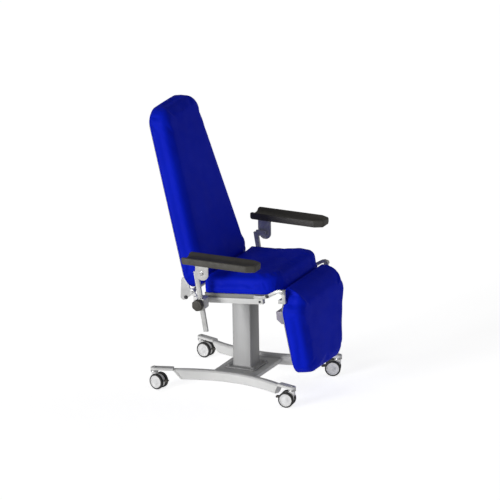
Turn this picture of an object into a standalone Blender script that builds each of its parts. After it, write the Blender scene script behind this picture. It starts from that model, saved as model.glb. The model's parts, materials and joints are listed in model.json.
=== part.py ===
"""Patient recliner chair on a lifting column with a four-castor base.

Metres, +Z up, the chair faces -Y and stands on z = 0. The dimensions below are taken
from the column's axis, and the whole chair then moves so that the middle of its outline
lies over the origin. "right" and "left" are the seated patient's: right is -X, left is +X.
"""
import bpy
import bmesh
from math import atan2, cos, pi, radians, sin, sqrt
from mathutils import Matrix, Vector

GAP = 0.0003
COLUMN_Y = 0.0035            # y of the column's axis once the chair is centred

# ---- base -------------------------------------------------------------------
RAIL_WAIST = 0.161          # half distance between the rails' centre lines at the column
RAIL_SPREAD = 0.112         # how far the rails bow outwards towards their ends
RAIL_SPREAD_AT = 0.367      # distance from the column where they have spread that far
RAIL_WIDTH = 0.034
RAIL_BOTTOM, RAIL_TOP = 0.044, 0.094
RAIL_WALL = 0.003
RAIL_EDGE = 0.007
RAIL_BACK = (0.226, 0.266)          # y of the slanted rear end, at its bottom and its top
RAIL_FRONT = (-0.252, -0.276)       # y of the slanted front end
RAIL_STATIONS = 12
CROSS_PLATE = (0.110, 0.060, 0.080)  # half depth along y, bottom, top
PLATE_FIT = 0.0012          # room at the plate's ends for the weld along the bowed rail
TONGUE_TOP, TONGUE_THICK, TONGUE_CAP = 0.1005, 0.012, 0.012
TONGUE_ROOT, TONGUE_TIP = 0.021, 0.019

# ---- castors ----------------------------------------------------------------
STEM_XY = (0.250, 0.358)
STEM_RADIUS = 0.0055
WHEEL_RADIUS = 0.0375
WHEEL_WIDTH = 0.017
WHEEL_GAP = 0.010           # half distance between the two wheels of one castor
TRAIL = 0.025
AXLE_RADIUS = 0.004
RACE = (0.017, 0.0790, 0.0865)      # radius, bottom, top of the swivel race
# heading of each castor: the way from its stem to its axle, in degrees about +Z from +X
CASTOR_HEADING = {"back_right": -102, "back_left": -98, "front_right": 97, "front_left": 112}

# ---- lifting column ---------------------------------------------------------
COLUMN_HALF, COLUMN_WALL, COLUMN_EDGE = 0.0475, 0.004, 0.004
FOOT_HALF, FOOT_THICK = 0.078, 0.008
OUTER_TUBE_TOP = 0.437
INNER_HALF, INNER_WALL, INNER_BOTTOM = 0.040, 0.003, 0.095
GLIDE_RIM, GLIDE_LENGTH = 0.003, 0.060
HEAD_HALF_X, HEAD_HALF_Y, HEAD_BOTTOM = 0.075, 0.090, 0.441
ACTUATOR_RADIUS, ACTUATOR_TOP = 0.030, 0.405
ROD_RADIUS, ROD_BOTTOM = 0.015, 0.160

# ---- seat, in its own tilted frame: z from the underside of the side rails ----
SEAT_ORIGIN = (0, 0, 0.4615)
SEAT_TILT = radians(5.5)
SEAT_RAIL_X = (0.219, 0.244)
SEAT_RAIL_Y = (-0.212, 0.150)
SEAT_RAIL_HEIGHT = 0.025
CROSS_TUBE_Z = (0.005, 0.0247)
CROSS_TUBE_HALF = 0.010
CROSS_FRONT_Y, CROSS_REAR_Y = -0.150, 0.060
BOARD_Z = (0.0253, 0.0443)
BOARD_HALF, BOARD_REAR, BOARD_FRONT, BOARD_CORNER = 0.238, 0.095, -0.245, 0.080
SEAT_PAD_Z = (0.0456, 0.1320)
SEAT_PAD_ROUND = 0.026      # round edge of the sitting face
CUSHION_REAR_ROUND = 0.012  # round edge of every cushion where it meets its board
SEAT_PAD_HALF, SEAT_PAD_REAR, SEAT_PAD_FRONT, SEAT_PAD_CORNER = 0.250, 0.085, -0.300, 0.095

# ---- backrest, in a frame at its pivot that leans back: z runs up the back -------
BACK_PIVOT = (0, 0.166, 0.490)
BACK_LEAN = radians(16.3)
BACK_FRONT, BACK_REAR = -0.084, 0.0060
BACK_BOARD_REAR = 0.0150
BACK_ROUND = 0.032          # round edge of the face that the patient leans on
BACK_BOTTOM, BACK_TOP = 0.014, 0.870
BACK_HALF_LOW, BACK_HALF_TOP = 0.262, 0.187
BACK_CORNER_LOW, BACK_CORNER_TOP = 0.075, 0.085
BRACKET_X = (0.205, 0.211)
CRANK_BAR = (0.0598, -0.0198)       # y and z of the bar that joins the two brackets
CRANK_BAR_RADIUS = 0.009
PIVOT_RADIUS = 0.006
PIVOT_LUG_X = (0.2190, 0.2270)
PIVOT_LUG_RADIUS = 0.012

# ---- gas spring that holds the backrest --------------------------------------
SPRING_X = 0.120
SPRING_ANCHOR = (-0.150, 0.440)     # y and z of the cylinder's pivot under the seat
SPRING_END = (0.190, 0.450)         # y and z of the rod's fork on the backrest's lug
SPRING_CYLINDER = (0.010, 0.200)    # radius and length
SPRING_ROD_RADIUS = 0.004
LUG_HALF = 0.003

# ---- legrest, in a frame at its pivot: z runs up the pad ----------------------
LEG_PIVOT = (0, -0.310, 0.553)
LEG_LEAN = radians(4.0)
LEG_REAR, LEG_FRONT, LEG_BOARD_REAR = 0.008, -0.088, 0.0170
LEG_TOP, LEG_BOTTOM = 0.009, -0.427
LEG_FOOT_HALF, LEG_CORNER = 0.196, 0.078     # half-width at the bottom, radius of its corners
CHANNEL_HALF, CHANNEL_DEPTH = 0.212, 0.038
HOOK_FOOT_DEPTH = 0.009     # how far a hook's foot stands off the board's rear face
LEG_ROUND = 0.032           # round edge of the front face
LEG_TOP_INSET = 0.018       # the most that the top edge is drawn in
LEG_CALF_ROUND = 0.072      # the front face rolls back over the top with this radius
ARM_X = (0.2393, 0.2493)
HOOK_X = (0.2290, 0.2390)
HINGE_LOBE, HINGE_PIN = 0.011, 0.005

# ---- armrests ----------------------------------------------------------------
POST_X, POST_HALF_X, POST_HALF_Y = 0.320, 0.006, 0.011
POST_LEAN = radians(9.2)
POST_FOOT = (0.049, 0.338)          # y and z of the post's lower end
POST_LENGTH = 0.295
BLOCK_X, BLOCK_Y, BLOCK_Z = (0.284, 0.334), (0.050, 0.102), (0.443, 0.500)
CLAMP_ARM_X, CLAMP_ARM_Y, CLAMP_ARM_Z = (0.2447, 0.290), (0.072, 0.098), (0.458, 0.490)
KNOB_CENTRE = (0.0735, 0.474)
KNOB_RADIUS, KNOB_LOBES, KNOB_X = 0.028, 7, (0.341, 0.366)
STUD_RADIUS = 0.005
ARM_BOLT = (0.058, 0.628)           # y and z of the pivot between post and armrest
BOLT_RADIUS = 0.005
EAR_X = (0.3323, 0.3383)
PAD_X, PAD_Y, PAD_Z = (0.314, 0.418), (-0.248, 0.124), (0.688, 0.722)

SIDES = {"right": -1, "left": 1}


# ---- small tools -------------------------------------------------------------
def material(name, colour, roughness, metallic=0.0):
    """A Principled material, made once per name."""
    made = bpy.data.materials.get(name)
    if made is None:
        made = bpy.data.materials.new(name)
        made.use_nodes = True
        shader = made.node_tree.nodes["Principled BSDF"]
        shader.inputs["Base Color"].default_value = (*colour, 1)
        shader.inputs["Roughness"].default_value = roughness
        shader.inputs["Metallic"].default_value = metallic
    return made


def white_paint():
    return material("white_paint", (0.78, 0.78, 0.77), 0.35)


def grey_paint():
    return material("grey_paint", (0.20, 0.20, 0.20), 0.45)


def light_steel():
    return material("light_steel", (0.60, 0.60, 0.59), 0.35, 0.8)


def aluminium():
    return material("aluminium", (0.62, 0.62, 0.62), 0.38, 0.9)


def upholstery():
    return material("upholstery", (0.005, 0.015, 0.42), 0.45)


def board_grey():
    return material("board_grey", (0.33, 0.33, 0.31), 0.6)


def dark_plastic():
    return material("dark_plastic", (0.06, 0.06, 0.055), 0.5)


def white_plastic():
    return material("white_plastic", (0.75, 0.75, 0.75), 0.4)


def bracket_grey():
    return material("bracket_grey", (0.30, 0.28, 0.36), 0.45)


def frame_empty(name, location, tilt=0.0):
    """An empty whose frame is turned about the X axis by -tilt."""
    chair = bpy.data.objects.get("chair")
    empty = bpy.data.objects.new(name, None)
    empty.location = location
    empty.rotation_euler = (-tilt, 0, 0)
    empty.parent = chair
    bpy.context.collection.objects.link(empty)
    return empty


def add(name, mesh_data, finish, parent=None, smooth=False, location=(0, 0, 0), turn=0.0):
    """Put a bmesh in the scene as one named object."""
    bmesh.ops.recalc_face_normals(mesh_data, faces=mesh_data.faces)
    mesh = bpy.data.meshes.new(name)
    mesh_data.to_mesh(mesh)
    mesh_data.free()
    mesh.materials.append(finish)
    if smooth:
        mesh.shade_smooth()
        mesh.set_sharp_from_angle(angle=radians(35))
    made = bpy.data.objects.new(name, mesh)
    made.location = location
    made.rotation_euler = (0, 0, turn)
    made.parent = parent or bpy.data.objects["chair"]
    bpy.context.collection.objects.link(made)
    return made


def helper(name, mesh_data, parent=None, location=(0, 0, 0), turn=0.0):
    """A cutter, or a piece to weld on, which isn't a node itself."""
    made = add(name, mesh_data, white_paint(), parent, location=location, turn=turn)
    made.hide_render = True
    made.display_type = "WIRE"
    return made


def combine(made, other, operation):
    boolean = made.modifiers.new(other.name, "BOOLEAN")
    boolean.operation = operation
    boolean.solver = "EXACT"
    boolean.object = other


def loft(rings, closed=False):
    """Skin a list of rings with the same number of points, with end faces unless closed."""
    made = bmesh.new()
    rows = [[made.verts.new(point) for point in ring] for ring in rings]
    count = len(rows[0])
    pairs = list(zip(rows, rows[1:] + rows[:1])) if closed else list(zip(rows, rows[1:]))
    for low, high in pairs:
        for i in range(count):
            j = (i + 1) % count
            made.faces.new((low[i], low[j], high[j], high[i]))
    if not closed:
        made.faces.new(rows[0][::-1])
        made.faces.new(rows[-1])
    return made


def box(low, high):
    """A box between two corners."""
    rings = []
    for z in (low[2], high[2]):
        rings.append([(low[0], low[1], z), (high[0], low[1], z),
                      (high[0], high[1], z), (low[0], high[1], z)])
    return loft(rings)


def prism_x(outline, x_range):
    """A plate across X: its outline is given as (y, z) points."""
    return loft([[(x, y, z) for y, z in outline] for x in x_range])


def prism_z(outline, z_range):
    """A plate across Z: its outline is given as (x, y) points."""
    return loft([[(x, y, z) for x, y in outline] for z in z_range])


def arc(centre, radius, start, end, steps):
    """Points on an arc, with its angles in degrees."""
    points = []
    for i in range(steps + 1):
        angle = radians(start + (end - start) * i / steps)
        points.append((centre[0] + radius * cos(angle), centre[1] + radius * sin(angle)))
    return points


def turned_x(profile, steps, centre=(0, 0)):
    """A body turned about an X axis through (y, z): its profile is (x, radius) points."""
    rings = []
    for x, radius in profile:
        ring = arc(centre, radius, 0, 360 - 360 / steps, steps - 1)
        rings.append([(x, y, z) for y, z in ring])
    return rings


def cylinder_x(x_range, radius, centre=(0, 0), steps=20):
    return loft(turned_x([(x, radius) for x in x_range], steps, centre))


def cylinder_z(z_range, radius, centre=(0, 0), steps=24):
    ring = arc(centre, radius, 0, 360 - 360 / steps, steps - 1)
    return prism_z(ring, z_range)


def square_ring(half, edge):
    """A square outline with cut corners, as (x, y) points."""
    points = []
    for sx, sy in ((1, 1), (-1, 1), (-1, -1), (1, -1)):
        pair = [(sx * half, sy * (half - edge)), (sx * (half - edge), sy * half)]
        points += pair if sx * sy > 0 else pair[::-1]
    return points


def square_tube(half, wall, edge, z_range):
    """A square tube, open at both ends."""
    outer, inner = square_ring(half, edge), square_ring(half - wall, edge * 0.6)
    low, high = z_range
    return loft([[(x, y, low) for x, y in outer], [(x, y, high) for x, y in outer],
                 [(x, y, high) for x, y in inner], [(x, y, low) for x, y in inner]], closed=True)


def mirrored(outline):
    """The right-hand half of an outline, from bottom to top, made whole across x = 0."""
    return outline + [(-x, y) for x, y in reversed(outline)]


def cushion(outline, levels, swap=None):
    """A cushion of one outline: each level is (height, how far its edge is drawn in)."""
    rings = []
    for height, inset in levels:
        ring = []
        for point, inward in zip(outline, inward_normals(outline)):
            moved = Vector(point) + inward * inset
            ring.append((moved.x, moved.y, height) if swap is None else (moved.x, height, moved.y))
        rings.append(ring)
    return loft(rings)


def rounded_levels(near, far, near_round, far_round, steps=5):
    """Levels of a cushion whose two faces meet its sides in round edges."""
    levels = []
    for i in range(steps + 1):
        angle = radians(90 * i / steps)
        levels.append((near + near_round * (1 - cos(angle)), near_round * (1 - sin(angle))))
    for i in range(steps // 2 + 1):
        angle = radians(90 * i / (steps // 2))
        levels.append((far - far_round * (1 - sin(angle)), far_round * (1 - cos(angle))))
    return levels


def inward_normals(outline):
    """The unit normals that point into a closed outline, one for each of its points."""
    points = [Vector(point) for point in outline]
    area = sum(a.cross(b) for a, b in zip(points, points[1:] + points[:1]))
    turn = 1 if area > 0 else -1
    normals = []
    for i, point in enumerate(points):
        along = (points[(i + 1) % len(points)] - points[i - 1]).normalized()
        normals.append(Vector((-along.y, along.x)) * turn)
    return normals


# ---- base ---------------------------------------------------------------------
def rail_centre(y):
    """Distance of a side rail's centre line from x = 0, at a place along y."""
    return RAIL_WAIST + RAIL_SPREAD * (y / RAIL_SPREAD_AT) ** 2


def rail_point(y, z, offset, side):
    slope = 2 * RAIL_SPREAD * y / RAIL_SPREAD_AT ** 2
    length = sqrt(1 + slope * slope)
    return (side * (rail_centre(y) + offset / length), y - slope * offset / length, z)


def rail_section(inset):
    """The rail's section with its edges cut, as (offset, z) points."""
    half, edge = RAIL_WIDTH / 2 - inset, RAIL_EDGE - inset * 0.6
    low, high = RAIL_BOTTOM + inset, RAIL_TOP - inset
    return [(half, low + edge), (half, high - edge), (half - edge, high), (edge - half, high),
            (-half, high - edge), (-half, low + edge), (edge - half, low), (half - edge, low)]


def end_y(end, z):
    share = (z - RAIL_BOTTOM) / (RAIL_TOP - RAIL_BOTTOM)
    return end[0] + (end[1] - end[0]) * share


def side_rail(side_name, side):
    """A bowed box tube, open at its two slanted ends."""
    rings = []
    for inset, order in ((0, range(RAIL_STATIONS + 1)),
                         (RAIL_WALL, range(RAIL_STATIONS, -1, -1))):
        for i in order:
            ring = []
            for offset, z in rail_section(inset):
                back, front = end_y(RAIL_BACK, z), end_y(RAIL_FRONT, z)
                ring.append(rail_point(back + (front - back) * i / RAIL_STATIONS, z, offset, side))
            rings.append(ring)
    add(f"side_rail_{side_name}", loft(rings, closed=True), white_paint(), smooth=True)


def castor_tongue(corner, x_side, y_side):
    """A casting that closes the rail's end and reaches out over the castor."""
    end = RAIL_BACK if y_side > 0 else RAIL_FRONT
    rings = []
    for step in (GAP, TONGUE_CAP):
        ring = []
        for offset, z in rail_section(0):
            ring.append(rail_point(end_y(end, z) + y_side * step, z, offset, x_side))
        rings.append(ring)
    cap = helper(f"tongue_cap_{corner}", loft(rings))

    stem = Vector((x_side * STEM_XY[0], y_side * STEM_XY[1]))
    root_y = end[1] + y_side * TONGUE_CAP / 2
    root = Vector((x_side * rail_centre(root_y), root_y))
    along = (stem - root).normalized()
    across = Vector((-along.y, along.x))
    heading = atan2(along.y, along.x) * 180 / pi
    tip = arc(stem, TONGUE_TIP, heading - 90, heading + 90, 10)
    outline = [root - across * TONGUE_ROOT * 0.85, *tip, root + across * TONGUE_ROOT * 0.85]
    levels = ((TONGUE_TOP - TONGUE_THICK, 0.0015), (TONGUE_TOP - TONGUE_THICK + 0.002, 0),
              (TONGUE_TOP - 0.003, 0), (TONGUE_TOP, 0.003))
    made = add(f"castor_tongue_{corner}", cushion([tuple(p) for p in outline], levels),
               white_paint(), smooth=True)
    combine(made, cap, "UNION")
    socket_z = (TONGUE_TOP - TONGUE_THICK - 0.01, TONGUE_TOP - 0.002)
    socket = helper(f"stem_socket_{corner}", cylinder_z(socket_z, STEM_RADIUS + GAP, stem, 16))
    combine(made, socket, "DIFFERENCE")


def cross_plate():
    """The dark plate that joins the rails: its ends follow their bow."""
    half, low, high = CROSS_PLATE
    steps = 8
    edge = []
    for i in range(steps + 1):
        y = half - 2 * half * i / steps
        edge.append((rail_centre(y) - RAIL_WIDTH / 2 - PLATE_FIT, y))
    levels = ((low, 0), (high - 0.002, 0), (high, 0.002))
    add("cross_plate", cushion(mirrored(edge), levels), grey_paint())


# ---- castors --------------------------------------------------------------------
def castor(corner, x_side, y_side):
    """Swivel housing with its stem and axle, two wheels and a brake pedal."""
    stem = (x_side * STEM_XY[0], y_side * STEM_XY[1], 0)
    # in the castor's own frame the axle lies along X and the housing trails towards -Y
    turn = radians(CASTOR_HEADING[corner] + 90)
    axle_at = (-TRAIL, WHEEL_RADIUS)
    hood = arc(axle_at, 0.0325, 220, 78, 11)
    hood += [(-0.0125, RACE[1] + 0.002), (0.0130, RACE[1] + 0.002), (0.0130, 0.0620)]
    hood += arc(axle_at, 0.0325, 15, -30, 4)
    half = WHEEL_GAP - 0.001
    levels = ((-half, 0.0015), (-half + 0.0025, 0), (half - 0.0025, 0), (half, 0.0015))
    rings = []
    for x, inset in levels:
        moved = [Vector(p) + n * inset for p, n in zip(hood, inward_normals(hood))]
        rings.append([(x, point.x, point.y) for point in moved])
    housing = add(f"castor_{corner}_housing", loft(rings), white_plastic(), smooth=True,
                  location=stem, turn=turn)
    race = helper(f"castor_{corner}_race", cylinder_z(RACE[1:], RACE[0]), location=stem, turn=turn)
    post = helper(f"castor_{corner}_stem", cylinder_z((RACE[1], TONGUE_TOP - 0.004), STEM_RADIUS,
                  steps=16), location=stem, turn=turn)
    reach = WHEEL_GAP + WHEEL_WIDTH - 0.004
    axle = helper(f"castor_{corner}_axle",
                  cylinder_x((-reach, reach), AXLE_RADIUS, axle_at, 16),
                  location=stem, turn=turn)
    for piece in (race, post, axle):
        combine(housing, piece, "UNION")

    hub = AXLE_RADIUS + GAP
    inner, outer = WHEEL_GAP, WHEEL_GAP + WHEEL_WIDTH
    profile = [(inner, hub), (inner, WHEEL_RADIUS - 0.004), (inner + 0.003, WHEEL_RADIUS),
               (outer - 0.005, WHEEL_RADIUS), (outer - 0.001, WHEEL_RADIUS - 0.003),
               (outer, WHEEL_RADIUS - 0.007), (outer - 0.0015, 0.012), (outer - 0.0015, hub)]
    turned = Vector((0, -TRAIL, 0))
    turned.rotate(Matrix.Rotation(turn, 3, "Z"))
    centre = (stem[0] + turned.x, stem[1] + turned.y, WHEEL_RADIUS)
    for label, way in (("a", -1), ("b", 1)):
        rings = turned_x([(x * way, radius) for x, radius in profile], 28)
        add(f"castor_{corner}_wheel_{label}", loft(rings, closed=True), dark_plastic(),
            smooth=True, location=centre, turn=turn)

    # the pedal turns on the hood's trailing edge, between the wheels
    pedal = [(-0.0620, 0.0500), (-0.0590, 0.0420), (-0.0755, 0.0400), (-0.0800, 0.0440),
             (-0.0780, 0.0490)]
    add(f"castor_{corner}_brake", prism_x(pedal, (-half, half)), dark_plastic(),
        location=stem, turn=turn)


# ---- lifting column ----------------------------------------------------------------
def lifting_column():
    foot_low = CROSS_PLATE[2] + GAP
    foot_high = foot_low + FOOT_THICK
    flange = cushion(square_ring(FOOT_HALF, 0.008),
                     ((foot_low, 0), (foot_high - 0.0015, 0), (foot_high, 0.0015)))
    tube = helper("outer_tube_walls", square_tube(COLUMN_HALF, COLUMN_WALL, COLUMN_EDGE,
                  (foot_low + 0.004, OUTER_TUBE_TOP)))
    outer = add("column_outer_tube", flange, aluminium())
    combine(outer, tube, "UNION")

    sleeve_low = OUTER_TUBE_TOP - GLIDE_LENGTH
    rim_low, rim_high = OUTER_TUBE_TOP + GAP, OUTER_TUBE_TOP + GAP + GLIDE_RIM
    bore = INNER_HALF + GAP
    sleeve = helper("glide_sleeve", square_tube(COLUMN_HALF - COLUMN_WALL - GAP,
                    COLUMN_HALF - COLUMN_WALL - GAP - bore, 0.003, (sleeve_low, rim_high - 0.001)))
    ring = add("column_glide_ring", square_tube(COLUMN_HALF, COLUMN_HALF - bore, COLUMN_EDGE,
               (rim_low, rim_high)), dark_plastic())
    combine(ring, sleeve, "UNION")

    # the inner tube carries a head whose top slopes like the seat
    slope = sin(SEAT_TILT) / cos(SEAT_TILT)
    top = SEAT_ORIGIN[2] - GAP
    head = [(-HEAD_HALF_Y, HEAD_BOTTOM), (HEAD_HALF_Y, HEAD_BOTTOM),
            (HEAD_HALF_Y, top - HEAD_HALF_Y * slope), (-HEAD_HALF_Y, top + HEAD_HALF_Y * slope)]
    inner = add("column_inner_tube", prism_x(head, (-HEAD_HALF_X, HEAD_HALF_X)), aluminium())
    walls = helper("inner_tube_walls", square_tube(INNER_HALF, INNER_WALL, 0.003,
                   (INNER_BOTTOM, HEAD_BOTTOM + 0.003)))
    combine(inner, walls, "UNION")

    body = add("lift_actuator_body", cylinder_z((foot_high + GAP, ACTUATOR_TOP), ACTUATOR_RADIUS),
               grey_paint(), smooth=True)
    bore = helper("actuator_bore", cylinder_z((ROD_BOTTOM - 0.01, ACTUATOR_TOP + 0.01),
                  ROD_RADIUS + GAP, steps=20))
    combine(body, bore, "DIFFERENCE")
    add("lift_actuator_rod", cylinder_z((ROD_BOTTOM, HEAD_BOTTOM - GAP), ROD_RADIUS, steps=20),
        light_steel(), smooth=True)


# ---- seat -------------------------------------------------------------------------
def seat_point(y, z):
    """Where a place given in world y and z lies in the seat's frame."""
    dy, dz = y - SEAT_ORIGIN[1], z - SEAT_ORIGIN[2]
    return (dy * cos(SEAT_TILT) - dz * sin(SEAT_TILT), dy * sin(SEAT_TILT) + dz * cos(SEAT_TILT))


def seat_frame(seat):
    pivot = seat_point(*BACK_PIVOT[1:])
    for name, side in SIDES.items():
        x0, x1 = (side * x for x in SEAT_RAIL_X)
        low = (min(x0, x1), SEAT_RAIL_Y[0], 0)
        high = (max(x0, x1), SEAT_RAIL_Y[1], SEAT_RAIL_HEIGHT)
        rail = add(f"seat_rail_{name}", box(low, high), white_paint(), seat)
        lug_x = sorted(side * x for x in PIVOT_LUG_X)
        lug = arc(pivot, PIVOT_LUG_RADIUS, -40, 180, 11)
        lug += [(pivot[0] - 0.030, 0.012), (SEAT_RAIL_Y[1] - 0.004, 0.004)]
        combine(rail, helper(f"pivot_lug_{name}", prism_x(lug, lug_x), seat), "UNION")
        pin_x = sorted((side * (BRACKET_X[0] - 0.003), side * (PIVOT_LUG_X[1] - 0.003)))
        pin = helper(f"back_pin_{name}", cylinder_x(pin_x, PIVOT_RADIUS, pivot), seat)
        combine(rail, pin, "UNION")

    reach = SEAT_RAIL_X[0] - GAP
    for name, y in (("front", CROSS_FRONT_Y), ("rear", CROSS_REAR_Y)):
        tube = add(f"seat_cross_{name}", box((-reach, y - CROSS_TUBE_HALF, CROSS_TUBE_Z[0]),
                   (reach, y + CROSS_TUBE_HALF, CROSS_TUBE_Z[1])), white_paint(), seat)
        if name == "front":
            anchor = seat_point(*SPRING_ANCHOR)
            x_in, x_out = SPRING_X - 0.020, SPRING_X - 0.014
            lug = [(anchor[0] - 0.009, 0.015), (anchor[0] + 0.009, 0.015)]
            lug += arc(anchor, 0.009, 0, -180, 8)
            combine(tube, helper("spring_lug", prism_x(lug, (x_in, x_out)), seat), "UNION")
            pin = cylinder_x((x_in + 0.002, SPRING_X + 0.008), 0.004, anchor, 16)
            combine(tube, helper("spring_pin", pin, seat), "UNION")


def rounded_seat_outline(half, rear, front, corner):
    """Square at the back with small corners, large corners at the front."""
    small = 0.012
    side = arc((half - corner, front + corner), corner, -90, 0, 10)
    side += arc((half - small, rear - small), small, 0, 90, 4)
    return mirrored(side)


def seat_board_and_cushion(seat):
    board = rounded_seat_outline(BOARD_HALF, BOARD_REAR, BOARD_FRONT, BOARD_CORNER)
    low, high = BOARD_Z
    add("seat_board", cushion(board, ((low, 0.001), (low + 0.002, 0), (high, 0))),
        board_grey(), seat)
    pad = rounded_seat_outline(SEAT_PAD_HALF, SEAT_PAD_REAR, SEAT_PAD_FRONT, SEAT_PAD_CORNER)
    low, high = SEAT_PAD_Z
    levels = [(low + high - z, inset) for z, inset in
              rounded_levels(low, high, SEAT_PAD_ROUND, CUSHION_REAR_ROUND)]
    add("seat_cushion", cushion(pad, levels), upholstery(), seat, smooth=True)


# ---- backrest -----------------------------------------------------------------------
def back_outline(inset):
    """The backrest's outline as seen from the front: it narrows towards the top."""
    low, top = BACK_BOTTOM + inset, BACK_TOP - inset
    wide, narrow = BACK_HALF_LOW - inset, BACK_HALF_TOP - inset
    corner_low, corner_top = BACK_CORNER_LOW - inset, BACK_CORNER_TOP - inset
    side = arc((wide - corner_low, low + corner_low), corner_low, -90, 0, 8)
    side += arc((narrow - corner_top, top - corner_top), corner_top, 4, 90, 8)
    return mirrored(side)


def bracket_outline():
    """One side plate, in the backrest's frame: pivot lobe, crank and the leg behind the board."""
    lobe = arc((0, 0), PIVOT_LUG_RADIUS, 90, 255, 9)
    bar_y, bar_z = CRANK_BAR
    heel = arc((bar_y, bar_z), 0.016, -110, 10, 7)
    back = BACK_BOARD_REAR + GAP
    return lobe + heel + [(back + 0.032, 0.062), (back + 0.026, 0.070), (back, 0.070),
                          (back, BACK_BOTTOM - 0.002)]


def back_point(y, z):
    """Where a place given in world y and z lies in the backrest's frame."""
    dy, dz = y - BACK_PIVOT[1], z - BACK_PIVOT[2]
    return (dy * cos(BACK_LEAN) - dz * sin(BACK_LEAN), dy * sin(BACK_LEAN) + dz * cos(BACK_LEAN))


def backrest():
    back = frame_empty("backrest_frame", BACK_PIVOT, BACK_LEAN)
    levels = rounded_levels(BACK_FRONT, BACK_REAR, BACK_ROUND, CUSHION_REAR_ROUND)
    add("backrest_cushion", cushion(back_outline(0), levels, "upright"), upholstery(), back,
        smooth=True)
    board = ((BACK_REAR + GAP, 0), (BACK_BOARD_REAR - 0.002, 0), (BACK_BOARD_REAR, 0.002))
    add("backrest_board", cushion(back_outline(0.022), board, "upright"), board_grey(), back)

    for name, side in SIDES.items():
        x_range = sorted(side * x for x in BRACKET_X)
        plate = add(f"backrest_bracket_{name}", prism_x(bracket_outline(), x_range),
                    light_steel(), back)
        wide = sorted(side * x for x in (BRACKET_X[0] - 0.01, BRACKET_X[1] + 0.01))
        hole = cylinder_x(wide, PIVOT_RADIUS + GAP)
        combine(plate, helper(f"bracket_bore_{name}", hole, back), "DIFFERENCE")

    reach = BRACKET_X[0] - GAP
    bar = add("backrest_crank_bar", cylinder_x((-reach, reach), CRANK_BAR_RADIUS, CRANK_BAR),
              light_steel(), back, smooth=True)
    end = back_point(*SPRING_END)
    along = Vector(CRANK_BAR) - Vector(end)
    heading = atan2(along.y, along.x) * 180 / pi
    lug = arc(end, 0.007, heading + 90, heading + 270, 8) + arc(CRANK_BAR, 0.007,
                                                                 heading - 90, heading + 90, 8)
    lug_x = (SPRING_X - LUG_HALF, SPRING_X + LUG_HALF)
    combine(bar, helper("crank_lug", prism_x(lug, lug_x), back), "UNION")


def gas_spring():
    """Cylinder and rod: +Y of their frame runs from the anchor to the rod's fork."""
    dy, dz = SPRING_END[0] - SPRING_ANCHOR[0], SPRING_END[1] - SPRING_ANCHOR[1]
    length = sqrt(dy * dy + dz * dz)
    frame = frame_empty("gas_spring_frame", (SPRING_X, *SPRING_ANCHOR), -atan2(dz, dy))
    radius, body = SPRING_CYLINDER

    def along_y(profile, steps):
        rings = []
        for y, r in profile:
            rings.append([(x, y, z) for x, z in arc((0, 0), r, 0, 360 - 360 / steps, steps - 1)])
        return loft(rings)

    eye = 0.009
    cylinder = add("gas_spring_cylinder", along_y(((eye, 0.006), (0.014, radius),
                   (body - 0.003, radius), (body, radius - 0.003)), 20), dark_plastic(), frame,
                   smooth=True)
    ear = [(y, z) for y, z in arc((0, 0), eye, 90, 270, 10)] + [(0.012, -0.006), (0.012, 0.006)]
    combine(cylinder, helper("spring_ear", prism_x(ear, (-0.006, 0.006)), frame), "UNION")
    hole = cylinder_x((-0.02, 0.02), 0.004 + GAP, steps=16)
    combine(cylinder, helper("spring_ear_bore", hole, frame), "DIFFERENCE")
    bore = along_y(((0.080, SPRING_ROD_RADIUS + GAP), (body + 0.01, SPRING_ROD_RADIUS + GAP)), 16)
    combine(cylinder, helper("spring_rod_bore", bore, frame), "DIFFERENCE")

    fork_start = length - 0.034
    rod = add("gas_spring_rod", along_y(((body - 0.055, SPRING_ROD_RADIUS),
              (fork_start + 0.004, SPRING_ROD_RADIUS)), 16), light_steel(), frame, smooth=True)
    fork = [(y + length, z) for y, z in arc((0, 0), 0.007, -90, 90, 8)]
    fork += [(fork_start, 0.007), (fork_start, -0.007)]
    prongs = LUG_HALF + 0.005
    combine(rod, helper("spring_fork", prism_x(fork, (-prongs, prongs)), frame), "UNION")
    slot = LUG_HALF + 0.0008
    combine(rod, helper("spring_fork_slot", box((-slot, length - 0.021, -0.02),
                        (slot, length + 0.02, 0.02)), frame), "DIFFERENCE")


# ---- legrest ------------------------------------------------------------------------
def leg_outline(inset):
    """The legrest's outline: a neck between the hinges, shoulders, then a taper."""
    top, bottom = LEG_TOP - min(inset, LEG_TOP_INSET), LEG_BOTTOM + inset
    side = arc((LEG_FOOT_HALF - inset - LEG_CORNER, bottom + LEG_CORNER), LEG_CORNER, -90, -8, 8)
    side += [(0.2490 - inset, -0.1150), (0.2500 - inset, -0.0980), (0.2420 - inset, -0.0780),
             (0.2260 - inset, -0.0600), (0.2210 - inset, -0.0400), (0.2150 - inset, -0.0270),
             (0.2080 - inset, -0.0190), (0.2050 - inset, top - 0.010), (0.1970 - inset, top)]
    return mirrored(side)


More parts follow.
